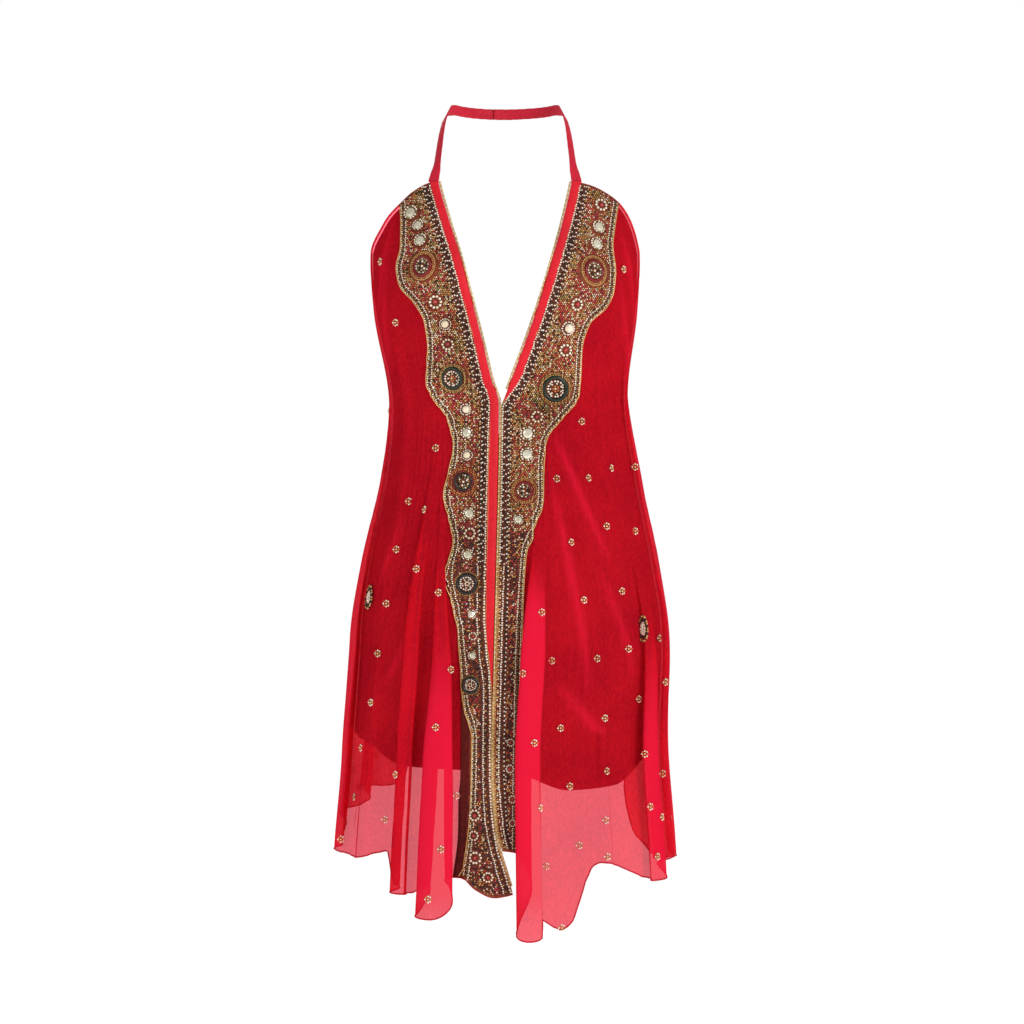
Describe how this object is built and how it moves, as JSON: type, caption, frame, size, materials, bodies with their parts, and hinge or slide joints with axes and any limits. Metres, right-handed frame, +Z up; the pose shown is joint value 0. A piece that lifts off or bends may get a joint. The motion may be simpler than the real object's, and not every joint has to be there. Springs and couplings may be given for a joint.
{
  "type": "halter sari dress",
  "caption": "Backless halter dress in sheer georgette over a shorter lining, with a plunging open neck and beaded sari borders down both fronts.",
  "frame": {"origin": "centre of the wearer's neck, level with the strap at the nape", "axes": "+Z up, -Y the way the wearer faces, +X towards the wearer's left"},
  "size_m": [0.4197, 0.3238, 1.0099],
  "materials": {
    "georgette": "sheer crinkled red georgette with small beaded flowers",
    "lining": "smooth dark red lining",
    "beadwork": "maroon net covered with gold, cream, silver and dark seed beads",
    "binding": "plain satin weave, folded and stitched",
    "piping": "gold metallic cord set with fine beads",
    "strap": "plain folded georgette band"
  },
  "bodies": {
    "root": {"front_right": "georgette", "front_left": "georgette", "back": "georgette", "lining_front_right": "lining", "lining_front_left": "lining", "lining_back": "lining", "border_right": "beadwork", "border_left": "beadwork", "binding_right": "binding", "binding_left": "binding", "piping_right": "piping", "piping_left": "piping", "strap_right": "strap", "strap_left": "strap"}
  },
  "joints": []
}
